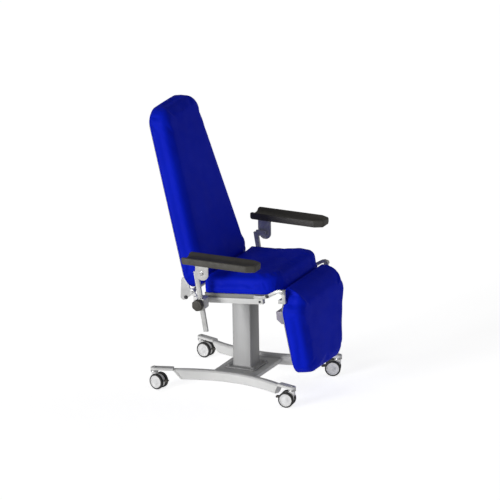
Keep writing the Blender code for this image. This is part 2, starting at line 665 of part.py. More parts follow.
def legrest():
    leg = frame_empty("legrest_frame", LEG_PIVOT, LEG_LEAN)
    rings = []
    for y, inset in rounded_levels(LEG_FRONT, LEG_REAR, LEG_ROUND, CUSHION_REAR_ROUND):
        rings.append([(x, y, z) for x, z in leg_outline(inset)])
    pad = add("legrest_cushion", loft(rings), upholstery(), leg, smooth=True)
    radius = LEG_CALF_ROUND
    roll = arc((LEG_FRONT + radius, LEG_TOP - radius), radius, 90, 180, 10)
    corner = [(LEG_FRONT - 0.02, LEG_TOP - radius), (LEG_FRONT - 0.02, LEG_TOP + 0.02),
              (LEG_FRONT + radius, LEG_TOP + 0.02)]
    combine(pad, helper("calf_roll_cut", prism_x(roll + corner, (-0.3, 0.3)), leg), "DIFFERENCE")
    board = ((LEG_REAR + GAP, 0), (LEG_BOARD_REAR - 0.002, 0), (LEG_BOARD_REAR, 0.002))
    add("legrest_board", cushion(leg_outline(0.018), board, "upright"), board_grey(), leg)

    # cross channel behind the board, its lower rear corner cut away
    near, far = LEG_BOARD_REAR + GAP, LEG_BOARD_REAR + CHANNEL_DEPTH
    channel = [(near, -0.1050), (far, -0.1050), (far, -0.1450), (near + 0.014, -0.1660),
               (near, -0.1660)]
    add("legrest_channel", prism_x(channel, (-CHANNEL_HALF, CHANNEL_HALF)), bracket_grey(), leg)

    pivot = LEG_PIVOT[1:]
    foot_rear = LEG_BOARD_REAR + HOOK_FOOT_DEPTH
    for name, side in SIDES.items():
        x_range = sorted(side * x for x in HOOK_X)
        hook = arc((0, 0), HINGE_LOBE, -10, 180, 12) + [
            (-0.0110, -0.0530), (-0.0060, -0.0580), (foot_rear, -0.0580), (foot_rear, -0.0400),
            (0.0070, -0.0400), (0.0050, -0.0360), (0.0060, -0.0120)]
        made = add(f"legrest_hook_{name}", prism_x(hook, x_range), light_steel(), leg)
        foot_x = sorted((side * (HOOK_X[1] - 0.001), side * 0.170))
        foot = box((foot_x[0], LEG_BOARD_REAR + GAP, -0.0575),
                   (foot_x[1], foot_rear - 0.0005, -0.0405))
        combine(made, helper(f"hook_foot_{name}", foot, leg), "UNION")
        wide = sorted(side * x for x in (HOOK_X[0] - 0.01, HOOK_X[1] + 0.01))
        hole = helper(f"hook_bore_{name}", cylinder_x(wide, HINGE_PIN + GAP, steps=16), leg)
        combine(made, hole, "DIFFERENCE")

        # the arm that carries the pivot is fixed to the side of the seat board
        top = [(-0.168, 0.5200), (-0.213, 0.5245), (-0.240, 0.5355), (-0.264, 0.5510),
               (-0.283, 0.5620), (-0.298, 0.5660)]
        under = [(-0.296, 0.5500), (-0.288, 0.5475), (-0.271, 0.5365), (-0.246, 0.5200),
                 (-0.215, 0.5090), (-0.170, 0.5050), (-0.164, 0.5120)]
        outline = top + arc(pivot, HINGE_LOBE, 90, 270, 12) + under
        x_range = sorted(side * x for x in ARM_X)
        made = add(f"legrest_arm_{name}", prism_x(outline, x_range), light_steel())
        pin_x = sorted((side * (HOOK_X[0] - 0.002), side * (ARM_X[1] - 0.003)))
        pin = cylinder_x(pin_x, HINGE_PIN, pivot, 16)
        combine(made, helper(f"hinge_pin_{name}", pin), "UNION")


# ---- armrests -------------------------------------------------------------------------
def armrest(name, side):
    """Clamp on the seat rail, sliding post, locking knob and the pad on its ear plate."""
    post_x = side * POST_X
    foot = frame_empty(f"post_frame_{name}", (post_x, *POST_FOOT), POST_LEAN)
    post = add(f"armrest_post_{name}", box((-POST_HALF_X, -POST_HALF_Y, 0),
               (POST_HALF_X, POST_HALF_Y, POST_LENGTH)), light_steel(), foot)
    bolt = ARM_BOLT
    lean_y = POST_FOOT[0] + (bolt[1] - POST_FOOT[1]) * sin(POST_LEAN) / cos(POST_LEAN)
    lug = [(lean_y, bolt[1] + 0.009)]
    lug += arc(bolt, 0.012, 130, 260, 9) + [(lean_y, bolt[1] - 0.022)]
    lug_x = sorted(side * x for x in (POST_X - 0.002, POST_X + POST_HALF_X + 0.004))
    combine(post, helper(f"post_lug_{name}", prism_x(lug, lug_x)), "UNION")
    bolt_x = sorted(side * x for x in (POST_X + 0.002, EAR_X[1] + 0.004))
    combine(post, helper(f"post_bolt_{name}", cylinder_x(bolt_x, BOLT_RADIUS, bolt, 16)), "UNION")

    low = (min(side * x for x in BLOCK_X), BLOCK_Y[0], BLOCK_Z[0])
    high = (max(side * x for x in BLOCK_X), BLOCK_Y[1], BLOCK_Z[1])
    outline = [(low[1] + 0.010, low[2]), (high[1] - 0.004, low[2]), (high[1], low[2] + 0.004),
               (high[1], high[2] - 0.010), (high[1] - 0.010, high[2]), (low[1] + 0.004, high[2]),
               (low[1], high[2] - 0.004), (low[1], low[2] + 0.010)]
    clamp = add(f"armrest_clamp_{name}", prism_x(outline, (low[0], high[0])), light_steel())
    arm_x = sorted(side * x for x in CLAMP_ARM_X)
    arm = box((arm_x[0], CLAMP_ARM_Y[0], CLAMP_ARM_Z[0]), (arm_x[1], CLAMP_ARM_Y[1], CLAMP_ARM_Z[1]))
    combine(clamp, helper(f"clamp_arm_{name}", arm), "UNION")
    slot = box((-POST_HALF_X - GAP, -POST_HALF_Y - GAP, 0.05),
               (POST_HALF_X + GAP, POST_HALF_Y + GAP, 0.25))
    combine(clamp, helper(f"post_slot_{name}", slot, foot), "DIFFERENCE")
    bore_x = sorted(side * x for x in (POST_X, BLOCK_X[1] + 0.01))
    bore = cylinder_x(bore_x, STUD_RADIUS + GAP, KNOB_CENTRE, 16)
    combine(clamp, helper(f"stud_bore_{name}", bore), "DIFFERENCE")

    # a lobed hand knob on a short threaded stud
    steps = KNOB_LOBES * 6
    rings = []
    for x, share in ((KNOB_X[0], 0.90), (KNOB_X[0] + 0.004, 1), (KNOB_X[1] - 0.006, 1),
                     (KNOB_X[1] - 0.001, 0.90), (KNOB_X[1], 0.80)):
        ring = []
        for i in range(steps):
            angle = 2 * pi * i / steps
            radius = KNOB_RADIUS * share * (1 - 0.035 * (1 + cos(KNOB_LOBES * angle)))
            ring.append((side * x, radius * cos(angle), radius * sin(angle)))
        rings.append(ring)
    at = (0, *KNOB_CENTRE)
    knob = add(f"armrest_knob_{name}", loft(rings), dark_plastic(), smooth=True, location=at)
    stud_x = sorted(side * x for x in (POST_X + POST_HALF_X + 0.0006, KNOB_X[0] + 0.004))
    stud = helper(f"knob_stud_{name}", cylinder_x(stud_x, STUD_RADIUS, steps=16), location=at)
    combine(knob, stud, "UNION")

    hinge = frame_empty(f"armrest_frame_{name}", (0, *bolt))
    pad_low = PAD_Z[0] - bolt[1]
    ear = [(0.033, pad_low - GAP), (0.033, 0.012), (0.020, -0.026), (0.006, -0.034)]
    ear += arc((-0.004, -0.005), 0.029, -80, -180, 9) + [(-0.033, pad_low - GAP)]
    made = add(f"armrest_ear_{name}", prism_x(ear, sorted(side * x for x in EAR_X)),
               light_steel(), hinge)
    flange_x = sorted(side * x for x in (EAR_X[0] + 0.001, EAR_X[1] + 0.045))
    flange = box((flange_x[0], -0.033, pad_low - 0.0045), (flange_x[1], 0.033, pad_low - GAP))
    combine(made, helper(f"ear_flange_{name}", flange, hinge), "UNION")
    wide = sorted(side * x for x in (EAR_X[0] - 0.01, EAR_X[1] + 0.01))
    hole = helper(f"ear_bore_{name}", cylinder_x(wide, BOLT_RADIUS + GAP, steps=16), hinge)
    combine(made, hole, "DIFFERENCE")
    armrest_pad(name, side, hinge)


def armrest_pad(name, side, hinge):
    """A dished pad with cut front corners: its top is a shallow gutter."""
    y_front, y_rear = (y - ARM_BOLT[0] for y in PAD_Y)
    z_low, z_high = (z - ARM_BOLT[1] for z in PAD_Z)
    middle = side * (PAD_X[0] + PAD_X[1]) / 2
    half = (PAD_X[1] - PAD_X[0]) / 2
    dish, lip = 0.012, 0.012
    section = [(1, z_high - 0.002), (1 - lip / half, z_high), (0.45, z_high - dish * 0.8),
               (0, z_high - dish), (-0.45, z_high - dish * 0.8), (lip / half - 1, z_high),
               (-1, z_high - 0.002), (-1, z_low + 0.006), (-0.85, z_low), (0.85, z_low),
               (1, z_low + 0.006)]
    rings = []
    for y, share in ((y_rear, 0.94), (y_rear - 0.008, 1), (y_front + 0.038, 1), (y_front, 0.62)):
        rings.append([(middle + half * share * x, y, z) for x, z in section])
    add(f"armrest_pad_{name}", loft(rings), dark_plastic(), hinge)


def build():
    for old in list(bpy.data.objects):
        bpy.data.objects.remove(old, do_unlink=True)
    frame_empty("chair", (0, COLUMN_Y, 0))
    for name, side in SIDES.items():
        side_rail(name, side)
    for end, y_side in (("back", 1), ("front", -1)):
        for name, side in SIDES.items():
            castor_tongue(f"{end}_{name}", side, y_side)
            castor(f"{end}_{name}", side, y_side)
    cross_plate()
    seat = frame_empty("seat_frame", SEAT_ORIGIN, SEAT_TILT)
    lifting_column()
    seat_frame(seat)
    seat_board_and_cushion(seat)
    backrest()
    gas_spring()
    legrest()
    for name, side in SIDES.items():
        armrest(name, side)
    bpy.context.view_layer.update()


build()
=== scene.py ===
"""The looks of the patient recliner chair: upholstery, castors, fasteners, finishes, light and view.

Metres, +Z up, the chair faces -Y and +X is the seated patient's left. Places come from the
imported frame, from its nodes' boxes and its joints' positions, and from the few dimensions of
the part that are named below.
"""
import json
from math import cos, pi, radians, sin, tan

import bmesh
import bpy
from mathutils import Matrix, Vector
from mathutils.bvhtree import BVHTree


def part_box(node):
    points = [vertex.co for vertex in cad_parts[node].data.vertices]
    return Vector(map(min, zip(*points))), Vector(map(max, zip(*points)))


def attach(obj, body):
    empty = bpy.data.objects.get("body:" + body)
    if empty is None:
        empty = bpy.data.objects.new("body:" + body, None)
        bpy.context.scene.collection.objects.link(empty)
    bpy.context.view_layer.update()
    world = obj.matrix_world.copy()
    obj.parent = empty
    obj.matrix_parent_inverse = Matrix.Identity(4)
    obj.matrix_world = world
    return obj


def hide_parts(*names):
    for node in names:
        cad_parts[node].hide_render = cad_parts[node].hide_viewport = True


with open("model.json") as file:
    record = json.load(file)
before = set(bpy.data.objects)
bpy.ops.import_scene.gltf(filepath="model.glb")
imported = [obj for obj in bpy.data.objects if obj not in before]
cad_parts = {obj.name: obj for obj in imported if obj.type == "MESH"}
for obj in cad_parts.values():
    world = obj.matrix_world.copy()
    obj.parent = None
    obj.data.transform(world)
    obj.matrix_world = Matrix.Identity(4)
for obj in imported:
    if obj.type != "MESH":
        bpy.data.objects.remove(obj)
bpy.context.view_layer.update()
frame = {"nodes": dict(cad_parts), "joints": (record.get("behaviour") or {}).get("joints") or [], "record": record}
NODES = frame["nodes"]
JOINTS = {joint["name"]: joint for joint in frame["joints"]}
BODY_OF = {node: body for body, nodes in frame["record"]["behaviour"]["bodies"].items()
           for node in nodes}
SLOT_OF = {part["node"]: part["material_slot"] for part in frame["record"]["subparts"]}

UP = Vector((0, 0, 1))
SIDES = {"right": -1, "left": 1}
CORNERS = ("back_right", "back_left", "front_right", "front_left")

# dimensions that the part's source has too
SEAT_TILT = radians(5.5)
BACK_LEAN = radians(16.3)
LEG_LEAN = radians(4.0)
SEAT_RAIL_UNDERSIDE, SEAT_RAIL_HEIGHT = 0.4615, 0.025    # at the column's axis
RAIL_SCREW_FROM_END = 0.016
ARM_BOLT_FORWARD, ARM_BOLT_RISE = 0.072, 0.0215    # from the arm's rear end and underside
PIVOT_LUG_FACE = 0.2270     # outer face of the lugs that the backrest turns in
EAR_FACE = 0.3384           # outer face of the armrests' ear plates
FLANGE_THICK = 0.0083       # the column's foot, with the gap under it
COLUMN_HALF = 0.0475
RACE_LOW, RACE_HIGH, RACE_RADIUS = 0.0790, 0.0865, 0.0170    # swivel race of a castor
WHEEL_INNER, WHEEL_OUTER = 0.0100, 0.0270    # a wheel's sides, from the castor's middle
WHEEL_DISC, WHEEL_BORE = 0.0305, 0.0045      # radii

# cushions
CUSHION_SHRINK = 0.001      # how far a cushion's sides are first drawn in from its solid
CUSHION_PRESSURE = 4.0
CUSHION_STEPS = 20          # frames of cloth simulation
CUSHION_PINNED = 0.009      # depth of the band next to the board that is held still
EDGE_ROUNDS = 4
PIPING_RADIUS, THREAD_RADIUS = 0.0022, 0.0007
STITCH_LINE = 0.0065        # from the piping to the row of stitches

# view: the camera stands far off, so that the chair is seen almost without perspective
VIEW_AZIMUTH, VIEW_ELEVATION, VIEW_ROLL = radians(-63.76), radians(18.32), radians(0.98)
VIEW_DISTANCE, VIEW_WIDTH = 50.0, 2.35
VIEW_RAISE, VIEW_RIGHT = 0.6148, 0.0152     # from the column's foot to the middle of the view
SENSOR = 36.0


def middle(node):
    low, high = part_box(node)
    return (Vector(low) + Vector(high)) / 2


# ---- materials ----------------------------------------------------------------------
class Finish:
    """A Principled material with a few helpers for its procedural detail."""

    def __init__(self, name, colour, roughness, metallic=0.0, specular=0.5):
        self.material = bpy.data.materials.new(name)
        self.material.use_nodes = True
        self.tree = self.material.node_tree
        self.shader = self.tree.nodes["Principled BSDF"]
        self.set("Base Color", (*colour, 1))
        self.set("Roughness", roughness)
        self.set("Metallic", metallic)
        self.set("Specular IOR Level", specular)
        self.place = self.tree.nodes.new("ShaderNodeTexCoord").outputs["Object"]
        self.height = None

    def set(self, socket, value):
        self.shader.inputs[socket].default_value = value

    def noise(self, scale, detail=3.0, stretch=(1, 1, 1)):
        """Noise over the piece: scale is its features per metre."""
        mapping = self.tree.nodes.new("ShaderNodeMapping")
        mapping.inputs["Scale"].default_value = stretch
        self.tree.links.new(self.place, mapping.inputs["Vector"])
        node = self.tree.nodes.new("ShaderNodeTexNoise")
        node.inputs["Scale"].default_value = scale
        node.inputs["Detail"].default_value = detail
        self.tree.links.new(mapping.outputs["Vector"], node.inputs["Vector"])
        return node.outputs["Fac"]

    def pebbles(self, scale, randomness=1.0):
        """Rounded cells with creases between them, as on embossed vinyl."""
        node = self.tree.nodes.new("ShaderNodeTexVoronoi")
        node.feature = "SMOOTH_F1"
        node.inputs["Scale"].default_value = scale
        node.inputs["Smoothness"].default_value = 0.35
        node.inputs["Randomness"].default_value = randomness
        self.tree.links.new(self.place, node.inputs["Vector"])
        return node.outputs["Distance"]

    def between(self, value, low, high, socket, colours=False):
        """Drive a socket from a 0 to 1 value, between two numbers or two colours."""
        if colours:
            ramp = self.tree.nodes.new("ShaderNodeValToRGB")
            ramp.color_ramp.elements[0].position = 0.3
            ramp.color_ramp.elements[0].color = (*low, 1)
            ramp.color_ramp.elements[1].position = 0.7
            ramp.color_ramp.elements[1].color = (*high, 1)
            self.tree.links.new(value, ramp.inputs["Fac"])
            self.tree.links.new(ramp.outputs["Color"], self.shader.inputs[socket])
            return
        spread = self.tree.nodes.new("ShaderNodeMapRange")
        spread.inputs["From Min"].default_value = 0.3
        spread.inputs["From Max"].default_value = 0.7
        spread.inputs["To Min"].default_value = low
        spread.inputs["To Max"].default_value = high
        self.tree.links.new(value, spread.inputs["Value"])
        self.tree.links.new(spread.outputs["Result"], self.shader.inputs[socket])

    def bump(self, value, strength, depth):
        """Add one layer of relief on top of those before it."""
        node = self.tree.nodes.new("ShaderNodeBump")
        node.inputs["Strength"].default_value = strength
        node.inputs["Distance"].default_value = depth
        self.tree.links.new(value, node.inputs["Height"])
        if self.height is not None:
            self.tree.links.new(self.height, node.inputs["Normal"])
        self.height = node.outputs["Normal"]
        self.tree.links.new(self.height, self.shader.inputs["Normal"])


def vinyl():
    """Wipe-clean blue artificial leather: fine pebble grain, patchy gloss."""
    finish = Finish("blue_vinyl", (0.003, 0.014, 0.56), 0.50, specular=0.03)
    finish.between(finish.noise(5, 4), (0.0026, 0.0125, 0.52), (0.0036, 0.0165, 0.60),
                   "Base Color", colours=True)
    finish.between(finish.noise(18, 4), 0.47, 0.60, "Roughness")
    finish.bump(finish.pebbles(620), 0.35, 0.0004)
    finish.bump(finish.noise(60, 5), 0.12, 0.0006)
    return finish.material


def powder_coat(name, colour, roughness=0.42):
    """Powder coat: orange peel relief and faint grime."""
    finish = Finish(name, colour, roughness, specular=0.45)
    darker = tuple(0.90 * channel for channel in colour)
    finish.between(finish.noise(9, 5), darker, colour, "Base Color", colours=True)
    finish.between(finish.noise(40, 3), roughness - 0.06, roughness + 0.08, "Roughness")
    finish.bump(finish.noise(700, 2), 0.10, 0.0002)
    return finish.material


def anodised(name, colour):
    """Satin extruded aluminium, drawn along Z."""
    finish = Finish(name, colour, 0.42, 0.15, specular=0.5)
    grain = finish.noise(500, 3, (1, 1, 0.02))
    darker = tuple(0.93 * channel for channel in colour)
    finish.between(grain, darker, colour, "Base Color", colours=True)
    finish.between(finish.noise(14, 4), 0.36, 0.48, "Roughness")
    finish.bump(grain, 0.08, 0.0002)
    return finish.material


def plated(name, colour, metallic=0.35):
    """Satin plated steel with fine scratches and a little tarnish."""
    finish = Finish(name, colour, 0.36, metallic)
    darker = tuple(0.84 * channel for channel in colour)
    finish.between(finish.noise(26, 6), darker, colour, "Base Color", colours=True)
    finish.between(finish.noise(90, 5, (1, 0.15, 1)), 0.28, 0.46, "Roughness")
    finish.bump(finish.noise(420, 2, (1, 0.08, 1)), 0.10, 0.0002)
    return finish.material


def moulded(name, colour, roughness=0.5, grain=900, depth=0.00025):
    """Moulded plastic or foam skin with a fine etched grain."""
    finish = Finish(name, colour, roughness, specular=0.4)
    brighter = tuple(1.25 * channel for channel in colour)
    finish.between(finish.noise(30, 4), colour, brighter, "Base Color", colours=True)
    finish.between(finish.noise(55, 4), roughness - 0.07, roughness + 0.10, "Roughness")
    finish.bump(finish.pebbles(grain), 0.30, depth)
    return finish.material


def painted_wood():
    """Grey painted plywood edge: its plies show as faint lines along the board."""
    finish = Finish("painted_board", (0.30, 0.30, 0.275), 0.6, specular=0.35)
    finish.between(finish.noise(70, 4, (0.2, 0.2, 6)), (0.25, 0.25, 0.23), (0.33, 0.33, 0.30),
                   "Base Color", colours=True)
    finish.bump(finish.noise(240, 3, (0.3, 0.3, 4)), 0.18, 0.0004)
    return finish.material


FINISH = {
    "white_paint": powder_coat("white_powder_coat", (0.80, 0.80, 0.79)),
    "grey_paint": powder_coat("pale_grey_powder_coat", (0.66, 0.66, 0.65)),
    "black_paint": powder_coat("black_enamel", (0.03, 0.03, 0.03), 0.3),
    "column_aluminium": anodised("column_satin_aluminium", (0.39, 0.39, 0.39)),
    "dark_plastic": moulded("dark_moulding", (0.060, 0.056, 0.048), 0.55),
    "steel": plated("plated_steel", (0.66, 0.66, 0.65), 0.22),
    "board": painted_wood(),
    "upholstery": vinyl(),
    # the legrest's channel gets a darker, lavender-tinted copy of the powder coat: painted shade from the legrest
    # it sits behind, with a painted blue reflection from the vinyl
    "channel_paint": powder_coat("channel_coat_with_painted_shade", (0.33, 0.31, 0.38)),
    "castor_shell": moulded("pale_castor_shell", (0.72, 0.72, 0.72), 0.38, 700, 0.00015),
    "castor_wheel": moulded("castor_tyre_rubber", (0.035, 0.035, 0.035), 0.62, 1400, 0.0002),
}
SCREW_STEEL = plated("bright_screw_steel", (0.60, 0.60, 0.60), 0.7)
DARK_SCREW = plated("blackened_screw_steel", (0.055, 0.055, 0.06), 0.4)
THREAD = moulded("blue_thread", (0.004, 0.016, 0.40), 0.75, 2200, 0.0002)


# ---- mesh tools ---------------------------------------------------------------------
def piece(name, mesh_data, body, slot, material=None, sharp=40):
    """Put a bmesh in the scene as one piece that rides on a body."""
    bmesh.ops.recalc_face_normals(mesh_data, faces=mesh_data.faces)
    mesh = bpy.data.meshes.new(name)
    mesh_data.to_mesh(mesh)
    mesh_data.free()
    made = bpy.data.objects.new(name, mesh)
    bpy.context.scene.collection.objects.link(made)
    mesh.materials.append(material or FINISH[slot])
    mesh.shade_smooth()
    mesh.set_sharp_from_angle(angle=radians(sharp))
    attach(made, body)
    return made


def frame_along(axis):
    """Two unit vectors square to an axis and to each other."""
    axis = Vector(axis).normalized()
    across = axis.cross(UP if abs(axis.z) < 0.9 else Vector((0, 1, 0))).normalized()
    return axis, across, axis.cross(across)


def turned(mesh_data, profile, centre, axis, steps=32, shape=None, closed=False):
    """Turn a profile of (distance along the axis, radius) points about an axis.

    shape(angle, row) may scale the radius, for hexagons and lobes.
    """
    axis, across, third = frame_along(axis)
    rows = []
    for row, (along, radius) in enumerate(profile):
        ring = []
        for i in range(steps):
            angle = 2 * pi * i / steps
            r = radius * (shape(angle, row) if shape else 1)
            point = Vector(centre) + axis * along + (across * cos(angle) + third * sin(angle)) * r
            ring.append(mesh_data.verts.new(point))
        rows.append(ring)
    pairs = list(zip(rows, rows[1:]))
    if closed:
        pairs.append((rows[-1], rows[0]))
    for low, high in pairs:
        for i in range(steps):
            j = (i + 1) % steps
            mesh_data.faces.new((low[i], low[j], high[j], high[i]))
    if not closed:
        mesh_data.faces.new(rows[0][::-1])
        mesh_data.faces.new(rows[-1])


def hexagon(angle):
    """The radius of a hexagon along an angle, where its corners are at 1."""
    return cos(pi / 6) / cos((angle % (pi / 3)) - pi / 6)


def socket_screw(mesh_data, centre, axis, radius, height):
    """A cap screw's head: rounded rim and a hexagon socket."""
    profile = [(0, radius), (height * 0.75, radius), (height, radius * 0.86),
               (height, radius * 0.52), (height * 0.35, radius * 0.50)]
    turned(mesh_data, profile, centre, axis, 24,
           lambda angle, row: hexagon(angle) if row > 2 else 1)


def hexagon_bolt(mesh_data, centre, axis, radius, height, washer=1.45):
    """A hexagon head on a washer."""
    turned(mesh_data, [(0, radius * washer), (height * 0.22, radius * washer),
                       (height * 0.25, radius * (washer - 0.06))], centre, axis, 24)
    turned(mesh_data, [(height * 0.2, radius), (height * 0.88, radius), (height, radius * 0.86)],
           centre, axis, 24, lambda angle, row: hexagon(angle) if row < 2 else 1)


def tube_along(mesh_data, points, radius, sides=8, closed=True):
    """A round tube through points that lie on a smooth line."""
    count = len(points)
    rows = []
    for i, point in enumerate(points):
        after = points[(i + 1) % count] if closed else points[min(i + 1, count - 1)]
        before = points[i - 1] if closed else points[max(i - 1, 0)]
        along = (after - before).normalized()
        side = along.cross(UP)
        side = side.normalized() if side.length > 1e-4 else along.orthogonal().normalized()
        third = along.cross(side)
        ring = []
        for k in range(sides):
            angle = 2 * pi * k / sides
            ring.append(mesh_data.verts.new(point + (side * cos(angle) + third * sin(angle))
                                            * radius))
        rows.append(ring)
    pairs = list(zip(rows, rows[1:]))
    if closed:
        pairs.append((rows[-1], rows[0]))
    for low, high in pairs:
        for k in range(sides):
            j = (k + 1) % sides
            mesh_data.faces.new((low[k], low[j], high[j], high[k]))
    if not closed:
        mesh_data.faces.new(rows[0][::-1])
        mesh_data.faces.new(rows[-1])


# ---- upholstery -----------------------------------------------------------------------
def evaluated_mesh(thing):
    """A new mesh of a thing as its modifiers leave it."""
    graph = bpy.context.evaluated_depsgraph_get()
    return bpy.data.meshes.new_from_object(thing.evaluated_get(graph), depsgraph=graph)


def bake_modifiers(thing):
    made = evaluated_mesh(thing)
    thing.modifiers.clear()
    thing.data = made


def inflated_cushion(node, name, voxel, cap, board_way):
    """A cushion blown up from its CAD solid and held flat against its board.

    board_way points from the cushion to its board, voxel is the size of its mesh's faces
    and cap is how far a point may move.
    """
    source = NODES[node].data
    made_mesh = bmesh.new()
    made_mesh.from_mesh(source)
    bmesh.ops.remove_doubles(made_mesh, verts=made_mesh.verts, dist=1e-5)
    bmesh.ops.recalc_face_normals(made_mesh, faces=made_mesh.faces)
    made_mesh.normal_update()
    depth = max(board_way.dot(vert.co) for vert in made_mesh.verts)
    for vert in made_mesh.verts:
        outwards = vert.normal * CUSHION_SHRINK
        outwards -= board_way * outwards.dot(board_way)
        vert.co -= outwards
    mesh = bpy.data.meshes.new(name)
    made_mesh.to_mesh(mesh)
    made_mesh.free()
    pad = bpy.data.objects.new(name, mesh)
    bpy.context.scene.collection.objects.link(pad)

    remesh = pad.modifiers.new("even_mesh", "REMESH")
    remesh.mode = "VOXEL"
    remesh.voxel_size = voxel
    smooth = pad.modifiers.new("round_edges", "LAPLACIANSMOOTH")
    smooth.iterations = EDGE_ROUNDS
    smooth.lambda_factor = 1.2
    smooth.use_volume_preserve = True
    bake_modifiers(pad)

    held = pad.vertex_groups.new(name="held_by_board")
    on_board = [vert.index for vert in pad.data.vertices
                if board_way.dot(vert.co) > depth - CUSHION_PINNED]
    held.add(on_board, 1.0, "REPLACE")
    rest = [vert.co.copy() for vert in pad.data.vertices]
    cloth = pad.modifiers.new("inflate", "CLOTH")
    settings = cloth.settings
    settings.use_pressure = True
    settings.uniform_pressure_force = CUSHION_PRESSURE
    settings.effector_weights.gravity = 0
    settings.tension_stiffness = settings.compression_stiffness = 20
    settings.shear_stiffness = 8
    settings.bending_stiffness = 4
    settings.quality = 5
    settings.vertex_group_mass = held.name
    settings.pin_stiffness = 1
    cloth.collision_settings.use_collision = False
    cloth.point_cache.frame_start, cloth.point_cache.frame_end = 1, CUSHION_STEPS
    scene = bpy.context.scene
    for step in range(1, CUSHION_STEPS + 1):
        scene.frame_set(step)
    bake_modifiers(pad)
    scene.frame_set(1)
    for vert, start in zip(pad.data.vertices, rest):
        moved = vert.co - start
        if moved.length > cap:
            vert.co = start + moved * (cap / moved.length)
    even = pad.modifiers.new("even_out", "SMOOTH")
    even.iterations, even.factor = 4, 0.5
    bake_modifiers(pad)
    finer = pad.modifiers.new("finer", "SUBSURF")
    finer.levels = finer.render_levels = 1
    bake_modifiers(pad)
    pad.data.materials.clear()
    pad.data.materials.append(FINISH["upholstery"])
    pad.data.shade_smooth()
    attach(pad, BODY_OF[node])
    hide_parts(node)
    return pad


def outline_on(pad, board_way, level, count):
    """Points round a cushion, on its skin, at a level in front of its board."""
    mesh = pad.data
    tree = BVHTree.FromPolygons([vert.co for vert in mesh.vertices],
                                [list(face.vertices) for face in mesh.polygons])
    centre = sum((vert.co for vert in mesh.vertices), Vector()) / len(mesh.vertices)
    depth = max(board_way.dot(vert.co) for vert in mesh.vertices)
    centre += board_way * (depth - level - board_way.dot(centre))
    _, across, third = frame_along(board_way)
    points = []
    for i in range(count):
        angle = 2 * pi * i / count
        way = across * cos(angle) + third * sin(angle)
        hit = tree.ray_cast(centre + way * 2, -way)
        if hit[0] is not None:
            points.append(hit[0])
    return even_spacing(points, count)


def even_spacing(points, count):
    """The same closed line, with its points a constant distance apart."""
    spans = [(b - a).length for a, b in zip(points, points[1:] + points[:1])]
    total = sum(spans)
    made, travelled, i = [], 0.0, 0
    for k in range(count):
        target = total * k / count
        while travelled + spans[i] < target:
            travelled += spans[i]
            i += 1
        share = (target - travelled) / max(spans[i], 1e-9)
        made.append(points[i].lerp(points[(i + 1) % len(points)], share))
    return made


def trim(pad, name, body, board_way, level, count=260):
    """A piped seam round a cushion, near the board, and its row of stitches."""
    points = outline_on(pad, board_way, level, count)
    piping = bmesh.new()
    tube_along(piping, points, PIPING_RADIUS)
    piece(f"{name}_piping", piping, body, "upholstery", sharp=80)

    stitches = bmesh.new()
    line = outline_on(pad, board_way, level + STITCH_LINE, count)
    for i in range(count):
        start, end = line[i], line[(i + 1) % count]
        along = end - start
        tube_along(stitches, [start + along * 0.18, start + along * 0.5, start + along * 0.82],
                   THREAD_RADIUS, 5, closed=False)
    piece(f"{name}_stitches", stitches, body, "upholstery", THREAD, 80)


def upholster():
    """The three cushions: flat broad faces, full rounded edges, a seam near the board."""
    seat_down = Vector((0, -sin(SEAT_TILT), -cos(SEAT_TILT)))
    back_rear = Vector((0, cos(BACK_LEAN), -sin(BACK_LEAN)))
    leg_rear = Vector((0, cos(LEG_LEAN), -sin(LEG_LEAN)))
    seat = inflated_cushion("seat_cushion", "seat_upholstery", 0.0055, 0.007, seat_down)
    back = inflated_cushion("backrest_cushion", "backrest_upholstery", 0.006, 0.008, back_rear)
    leg = inflated_cushion("legrest_cushion", "legrest_upholstery", 0.0055, 0.006, leg_rear)
    trim(seat, "seat", "lift", seat_down, 0.010)
    trim(back, "backrest", "backrest", back_rear, 0.011, 360)
    trim(leg, "legrest", "legrest", leg_rear, 0.010)


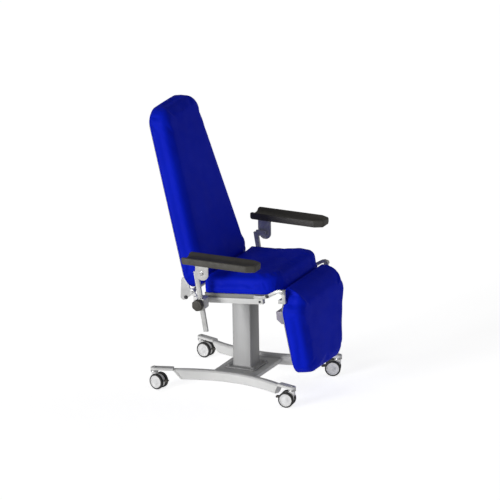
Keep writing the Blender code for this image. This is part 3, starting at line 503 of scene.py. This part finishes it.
# ---- castors --------------------------------------------------------------------------
def castor_wheel(corner, label):
    """One of the twin wheels: ribbed tyre, pale disc and hub cap."""
    node = f"castor_{corner}_wheel_{label}"
    body = BODY_OF[node]
    joint = JOINTS[f"wheel_spin_{corner}_{label}"]
    hub = Vector(joint["pos_m"])
    axis = Vector(joint["axis"])
    outwards = axis if (middle(node) - hub).dot(axis) > 0 else -axis
    low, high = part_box(node)
    radius = (high[2] - low[2]) / 2
    inner, outer, disc = WHEEL_INNER, WHEEL_OUTER, WHEEL_DISC

    tyre = bmesh.new()
    profile = [(inner + 0.0006, disc - 0.004), (inner, radius - 0.0045),
               (inner + 0.0012, radius - 0.0018), (inner + 0.0035, radius)]
    grooves = 3
    first, pitch = inner + 0.0052, 0.0030
    for i in range(grooves):
        at = first + i * pitch
        profile += [(at, radius), (at + 0.0004, radius - 0.0007),
                    (at + 0.0009, radius - 0.0007), (at + 0.0013, radius)]
    profile += [(outer - 0.0042, radius), (outer - 0.0018, radius - 0.0012),
                (outer - 0.0006, radius - 0.0032), (outer, disc + 0.0008),
                (outer - 0.0012, disc - 0.0006), (outer - 0.0030, disc - 0.004)]
    turned(tyre, profile, hub, outwards, 64, closed=True)
    made = piece(f"castor_{corner}_tyre_{label}", tyre, body, "castor_wheel", sharp=50)
    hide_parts(node)

    face = bmesh.new()
    bore = WHEEL_BORE
    plan = [(inner + 0.0012, bore), (inner + 0.0012, disc - 0.0005), (outer - 0.0012, disc - 0.0002),
            (outer - 0.0004, disc - 0.0014), (outer - 0.0008, disc - 0.0032),
            (outer - 0.0026, disc - 0.0050), (outer - 0.0030, 0.0150), (outer - 0.0014, 0.0124),
            (outer - 0.0010, 0.0112), (outer - 0.0010, bore)]
    turned(face, plan, hub, outwards, 64, closed=True)
    piece(f"castor_{corner}_disc_{label}", face, body, "castor_shell", sharp=30)

    cap = bmesh.new()
    turned(cap, [(outer - 0.0012, 0.0092), (outer - 0.0002, 0.0088), (outer + 0.0006, 0.0072),
                 (outer + 0.0009, 0.0040)], hub, outwards, 32)
    piece(f"castor_{corner}_hub_cap_{label}", cap, body, "castor_shell")


def castor_trim(corner):
    """A plated race cup over the swivel and the stem's nut on top of the tongue."""
    stem = Vector(JOINTS[f"castor_swivel_{corner}"]["pos_m"])
    tongue_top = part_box(f"castor_tongue_{corner}")[1][2]
    bolt(f"castor_{corner}_stem_nut", "base", (stem.x, stem.y, tongue_top), UP,
         0.0065, 0.0045, 1.5, SCREW_STEEL)

    cup = bmesh.new()
    low, high, race = RACE_LOW, RACE_HIGH, RACE_RADIUS
    profile = [(low - 0.0004, race + 0.0004), (low + 0.0006, race + 0.0016),
               (high - 0.0022, race + 0.0016), (high - 0.0008, race + 0.0006),
               (high - 0.0008, race - 0.0020), (low - 0.0004, race - 0.0020)]
    turned(cup, profile, (stem.x, stem.y, 0), UP, 40, closed=True)
    piece(f"castor_{corner}_race_cup", cup, f"castor_{corner}", "steel", SCREW_STEEL)


# ---- fasteners and fittings -------------------------------------------------------------
def column_trim():
    """Bolts through the corners of the column's foot flange."""
    centre = middle("column_outer_tube")
    flange_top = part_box("cross_plate")[1][2] + FLANGE_THICK
    spacing = 0.061
    bolts = bmesh.new()
    for x in (-spacing, spacing):
        for y in (-spacing, spacing):
            hexagon_bolt(bolts, (x, centre.y + y, flange_top), UP, 0.0075, 0.0058)
    piece("foot_flange_bolts", bolts, "base", "steel", SCREW_STEEL)


def weld_beads():
    """A fillet weld round the column's foot."""
    centre = middle("column_outer_tube")
    flange_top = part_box("cross_plate")[1][2] + FLANGE_THICK
    half = COLUMN_HALF
    bead = bmesh.new()
    corners = [(half, half), (-half, half), (-half, -half), (half, -half)]
    points = []
    steps = 30
    for (x0, y0), (x1, y1) in zip(corners, corners[1:] + corners[:1]):
        for i in range(steps):
            share = i / steps
            points.append(Vector((x0 + (x1 - x0) * share, centre.y + y0 + (y1 - y0) * share,
                                  flange_top + 0.0004)))
    tube_along(bead, points, 0.0022, 8)
    piece("column_foot_weld", bead, "base", "column_aluminium")


def outer_face(node, side):
    """The x of a node's face on the outside of the chair."""
    low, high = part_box(node)
    return high[0] if side > 0 else low[0]


def bolt(name, body, place, out, radius, height, washer, finish):
    """One hexagon bolt as a piece of its own."""
    head = bmesh.new()
    hexagon_bolt(head, place, out, radius, height, washer)
    piece(name, head, body, "steel", finish)


def seat_fittings():
    """Bolts on the seat rails, the legrest's arms and the backrest's brackets."""
    hinge = Vector(JOINTS["legrest_raise"]["pos_m"])
    pivot = Vector(JOINTS["backrest_recline"]["pos_m"])
    bar = middle("backrest_crank_bar")
    for name, side in SIDES.items():
        out = Vector((side, 0, 0))
        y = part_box(f"seat_rail_{name}")[0][1] + RAIL_SCREW_FROM_END
        screw = bmesh.new()
        socket_screw(screw, (outer_face(f"seat_rail_{name}", side), y, rail_middle_z(y)), out,
                     0.0055, 0.004)
        piece(f"seat_rail_screw_{name}", screw, "lift", "steel", DARK_SCREW)

        arm_face = outer_face(f"legrest_arm_{name}", side)
        arm_low, arm_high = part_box(f"legrest_arm_{name}")
        into_board = (arm_face, arm_high[1] - ARM_BOLT_FORWARD, arm_low[2] + ARM_BOLT_RISE)
        bolt(f"legrest_arm_bolt_{name}", "lift", into_board, out, 0.0066, 0.006, 1.35, DARK_SCREW)
        bolt(f"legrest_hinge_bolt_{name}", "lift", (arm_face, hinge.y, hinge.z), out,
             0.0058, 0.005, 1.35, SCREW_STEEL)
        bolt(f"backrest_pivot_bolt_{name}", "lift", (side * PIVOT_LUG_FACE, pivot.y, pivot.z),
             out, 0.0068, 0.005, 1.4, SCREW_STEEL)
        bracket_face = outer_face(f"backrest_bracket_{name}", side)
        bolt(f"crank_bar_bolt_{name}", "backrest", (bracket_face, bar.y, bar.z), out,
             0.0075, 0.006, 1.35, DARK_SCREW)


def rail_middle_z(y):
    """Height of the middle of a seat rail's side face, at a place along y."""
    along = y - middle("column_outer_tube").y
    return SEAT_RAIL_UNDERSIDE + SEAT_RAIL_HEIGHT / 2 - along * tan(SEAT_TILT)


def armrest_pivot(name, side):
    """The swing bolt on the ear plate, and the knob's cap."""
    out = Vector((side, 0, 0))
    pivot = Vector(JOINTS[f"armrest_swing_{name}"]["pos_m"])
    bolt(f"armrest_swing_bolt_{name}", f"armrest_{name}", (side * EAR_FACE, pivot.y, pivot.z),
         out, 0.0075, 0.006, 1.5, SCREW_STEEL)

    knob = Vector(JOINTS[f"knob_turn_{name}"]["pos_m"])
    knob_face = outer_face(f"armrest_knob_{name}", side)
    cap = bmesh.new()
    turned(cap, [(-0.001, 0.0150), (0.0006, 0.0150), (0.0016, 0.0135), (0.0018, 0.0060)],
           (knob_face, knob.y, knob.z), out, 32)
    piece(f"armrest_knob_cap_{name}", cap, f"knob_{name}", "dark_plastic")


def armrest_skin(name):
    """The moulded armrest pad: dished top, rounded rim, cut front corners."""
    node = f"armrest_pad_{name}"
    low, high = (Vector(corner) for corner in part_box(node))
    half = (high.x - low.x) / 2
    centre_x = (high.x + low.x) / 2
    rim, dish_depth, dish_run = 0.011, 0.012, 0.030
    mesh_data = bmesh.new()
    length = high.y - low.y
    # along the pad: distance from the front, share of the width, how far it is drawn in
    stations = ((0.000, 0.60, 0.0040), (0.0015, 0.625, 0.0015), (0.0035, 0.64, 0.0),
                (0.020, 0.80, 0.0), (0.036, 0.965, 0.0), (0.041, 0.995, 0.0),
                (0.050, 1.0, 0.0), (length * 0.5, 1.0, 0.0), (length - 0.014, 1.0, 0.0),
                (length - 0.006, 0.985, 0.0), (length - 0.002, 0.965, 0.0015),
                (length, 0.94, 0.0040))
    rows = []
    for at, share, draw in stations:
        wide = half * share
        inside = wide - rim
        top, bottom = high.z - draw, low.z + draw
        dish = dish_depth * (1 if at > dish_run else at / dish_run)
        section = [(-wide + draw * 0.5, bottom + 0.0045), (-wide, bottom + 0.008),
                   (-wide, top - 0.0045), (-wide + 0.0012, top - 0.0014),
                   (-wide + 0.0040, top), (-wide + rim * 0.75, top - 0.0008)]
        for i in range(9):
            t = -1 + 2 * i / 8
            section.append((inside * t * 0.96, top - dish * (1 - t * t * t * t) - 0.0012))
        section += [(wide - rim * 0.75, top - 0.0008), (wide - 0.0040, top),
                    (wide - 0.0012, top - 0.0014), (wide, top - 0.0045), (wide, bottom + 0.008),
                    (wide - draw * 0.5, bottom + 0.0045), (wide - 0.0055, bottom),
                    (0, bottom), (-wide + 0.0055, bottom)]
        rows.append([mesh_data.verts.new((centre_x + x, low.y + at, z)) for x, z in section])
    count = len(rows[0])
    for near, far in zip(rows, rows[1:]):
        for i in range(count):
            j = (i + 1) % count
            mesh_data.faces.new((near[i], near[j], far[j], far[i]))
    mesh_data.faces.new(rows[0][::-1])
    mesh_data.faces.new(rows[-1])
    made = piece(f"armrest_pad_skin_{name}", mesh_data, f"armrest_{name}", "dark_plastic",
                 sharp=45)
    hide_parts(node)


def hidden_fasteners():
    """Screws through the backrest's board, seen from behind."""
    screws = bmesh.new()
    back_rear = Vector((0, cos(BACK_LEAN), -sin(BACK_LEAN)))
    board = NODES["backrest_board"]
    low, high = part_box("backrest_board")
    tree = BVHTree.FromObject(board, bpy.context.evaluated_depsgraph_get())
    half_at_bottom, taper = 0.205, 0.055
    for share in (0.10, 0.36, 0.62, 0.88):
        z = low[2] + (high[2] - low[2]) * share
        width = half_at_bottom - taper * share
        for x in (-width, width):
            hit = tree.ray_cast(Vector((x, high[1] + 0.3, z)), Vector((0, -1, 0)))
            if hit[0] is not None:
                socket_screw(screws, hit[0], back_rear, 0.0052, 0.0022)
    piece("backrest_board_screws", screws, "backrest", "steel", SCREW_STEEL)


# ---- finishes on the CAD nodes ----------------------------------------------------------
def soft_edges_tree():
    """Shade smooth except at edges sharper than 32 degrees."""
    tree = bpy.data.node_groups.new("clean_and_smooth", "GeometryNodeTree")
    tree.interface.new_socket("Geometry", in_out="INPUT", socket_type="NodeSocketGeometry")
    tree.interface.new_socket("Geometry", in_out="OUTPUT", socket_type="NodeSocketGeometry")
    start = tree.nodes.new("NodeGroupInput")
    end = tree.nodes.new("NodeGroupOutput")
    angle = tree.nodes.new("GeometryNodeInputMeshEdgeAngle")
    is_sharp = tree.nodes.new("FunctionNodeCompare")
    is_sharp.operation = "GREATER_THAN"
    is_sharp.inputs["B"].default_value = radians(32)
    faces = tree.nodes.new("GeometryNodeSetShadeSmooth")
    faces.domain = "FACE"
    edges = tree.nodes.new("GeometryNodeSetShadeSmooth")
    edges.domain = "EDGE"
    edges.inputs["Shade Smooth"].default_value = False
    link = tree.links.new
    link(start.outputs[0], faces.inputs["Geometry"])
    link(faces.outputs[0], edges.inputs["Geometry"])
    link(angle.outputs["Unsigned Angle"], is_sharp.inputs["A"])
    link(is_sharp.outputs["Result"], edges.inputs["Selection"])
    link(edges.outputs[0], end.inputs[0])
    return tree


def unsplit_tree():
    """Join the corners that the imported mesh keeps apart, and drop its stored normals."""
    tree = bpy.data.node_groups.new("join_corners", "GeometryNodeTree")
    tree.interface.new_socket("Geometry", in_out="INPUT", socket_type="NodeSocketGeometry")
    tree.interface.new_socket("Geometry", in_out="OUTPUT", socket_type="NodeSocketGeometry")
    start = tree.nodes.new("NodeGroupInput")
    end = tree.nodes.new("NodeGroupOutput")
    drop = tree.nodes.new("GeometryNodeRemoveAttribute")
    drop.inputs["Name"].default_value = "custom_normal"
    merge = tree.nodes.new("GeometryNodeMergeByDistance")
    merge.inputs["Distance"].default_value = 0.00001
    link = tree.links.new
    link(start.outputs[0], drop.inputs["Geometry"])
    link(drop.outputs[0], merge.inputs["Geometry"])
    link(merge.outputs[0], end.inputs[0])
    return tree


EDGE_WIDTH = {"side_rail": 0.0012, "castor_tongue": 0.0010, "cross_plate": 0.0012,
              "column_outer": 0.0010, "column_inner": 0.0010, "seat_rail": 0.0018,
              "seat_cross": 0.0012, "seat_board": 0.0010, "backrest_board": 0.0012,
              "legrest_board": 0.0010, "legrest_channel": 0.0020, "armrest_clamp": 0.0020,
              "armrest_post": 0.0016, "armrest_ear": 0.0014, "armrest_knob": 0.0012,
              "legrest_arm": 0.0014, "legrest_hook": 0.0012, "backrest_bracket": 0.0012,
              "castor_": 0.0008}


def finish_cad_nodes():
    join, smooth = unsplit_tree(), soft_edges_tree()
    for name, node in NODES.items():
        for slot in node.material_slots:
            slot.material = FINISH[SLOT_OF[name]]
        node.modifiers.new("join_corners", "NODES").node_group = join
        width = next((w for start, w in EDGE_WIDTH.items() if name.startswith(start)), None)
        if width is not None:
            bevel = node.modifiers.new("worn_edges", "BEVEL")
            bevel.width = width
            bevel.segments = 2
            bevel.limit_method = "ANGLE"
            bevel.angle_limit = radians(40)
            bevel.use_clamp_overlap = True
        node.modifiers.new("smooth_by_angle", "NODES").node_group = smooth


# ---- stage, light and view --------------------------------------------------------------
FLOOR_GLOW, FLOOR_SEEN = 0.28, 0.47     # seen: added where the camera looks at the floor
KEY_STRENGTH, KEY_SPREAD = 2.1, radians(24)
KEY_FROM = Vector((-0.90, 0.42, 0.14))
FILL_STRENGTH, FILL_SPREAD = 0.30, radians(60)
FILL_FROM = Vector((0.75, -0.55, 0.45))
SKY = 0.18


def stage_floor():
    """A pale floor that glows a little, as a lit studio sweep does."""
    mesh = bpy.data.meshes.new("floor")
    reach = 40
    mesh.from_pydata([(-reach, -reach, -0.0006), (reach, -reach, -0.0006),
                      (reach, reach, -0.0006), (-reach, reach, -0.0006)], [], [(0, 1, 2, 3)])
    floor = bpy.data.objects.new("floor", mesh)
    bpy.context.scene.collection.objects.link(floor)
    material = bpy.data.materials.new("pale_floor")
    material.use_nodes = True
    shader = material.node_tree.nodes["Principled BSDF"]
    shader.inputs["Base Color"].default_value = (0.85, 0.85, 0.85, 1)
    shader.inputs["Roughness"].default_value = 0.9
    shader.inputs["Specular IOR Level"].default_value = 0.0
    shader.inputs["Emission Color"].default_value = (1, 1, 1, 1)
    rays = material.node_tree.nodes.new("ShaderNodeLightPath")
    glow = material.node_tree.nodes.new("ShaderNodeMath")
    glow.operation = "MULTIPLY_ADD"
    glow.inputs[1].default_value = FLOOR_SEEN
    glow.inputs[2].default_value = FLOOR_GLOW
    material.node_tree.links.new(rays.outputs["Is Camera Ray"], glow.inputs[0])
    material.node_tree.links.new(glow.outputs["Value"], shader.inputs["Emission Strength"])
    mesh.materials.append(material)


def sun(name, towards_light, strength, spread):
    light = bpy.data.lights.new(name, "SUN")
    light.energy = strength
    light.angle = spread
    made = bpy.data.objects.new(name, light)
    made.rotation_mode = "QUATERNION"
    made.rotation_quaternion = towards_light.to_track_quat("Z", "Y")
    bpy.context.scene.collection.objects.link(made)


def light_studio():
    """A broad key from the chair's right and rear, a weak fill, a pale sky."""
    sun("key", KEY_FROM, KEY_STRENGTH, KEY_SPREAD)
    sun("fill", FILL_FROM, FILL_STRENGTH, FILL_SPREAD)
    world = bpy.data.worlds.new("studio")
    bpy.context.scene.world = world
    world.use_nodes = True
    tree = world.node_tree
    light = tree.nodes["Background"]
    light.inputs["Color"].default_value = (1, 1, 1, 1)
    light.inputs["Strength"].default_value = SKY
    seen = tree.nodes.new("ShaderNodeBackground")
    seen.inputs["Color"].default_value = (1, 1, 1, 1)
    seen.inputs["Strength"].default_value = 1.0
    mix = tree.nodes.new("ShaderNodeMixShader")
    rays = tree.nodes.new("ShaderNodeLightPath")
    tree.links.new(rays.outputs["Is Camera Ray"], mix.inputs["Fac"])
    tree.links.new(light.outputs["Background"], mix.inputs[1])
    tree.links.new(seen.outputs["Background"], mix.inputs[2])
    tree.links.new(mix.outputs["Shader"], tree.nodes["World Output"].inputs["Surface"])
    bpy.context.scene.view_settings.view_transform = "Standard"


def place_camera():
    backwards = Vector((sin(VIEW_AZIMUTH) * cos(VIEW_ELEVATION),
                        -cos(VIEW_AZIMUTH) * cos(VIEW_ELEVATION), sin(VIEW_ELEVATION)))
    level_right = UP.cross(backwards).normalized()
    level_up = backwards.cross(level_right)
    right = level_right * cos(VIEW_ROLL) - level_up * sin(VIEW_ROLL)
    up = level_right * sin(VIEW_ROLL) + level_up * cos(VIEW_ROLL)
    foot = middle("column_outer_tube")
    foot.z = 0
    target = foot + right * VIEW_RIGHT + up * VIEW_RAISE
    data = bpy.data.cameras.new("camera")
    data.sensor_width = SENSOR
    data.lens = SENSOR * VIEW_DISTANCE / VIEW_WIDTH
    data.clip_end = 300
    camera = bpy.data.objects.new("camera", data)
    turn = Matrix((right, up, backwards)).transposed().to_4x4()
    camera.matrix_world = Matrix.Translation(target + backwards * VIEW_DISTANCE) @ turn
    bpy.context.scene.collection.objects.link(camera)
    bpy.context.scene.camera = camera


place_camera()
light_studio()
stage_floor()
finish_cad_nodes()
upholster()
for corner in CORNERS:
    castor_trim(corner)
    for label in "ab":
        castor_wheel(corner, label)
column_trim()
weld_beads()
seat_fittings()
for side_name, side in SIDES.items():
    armrest_pivot(side_name, side)
    armrest_skin(side_name)
hidden_fasteners()
bpy.context.view_layer.update()
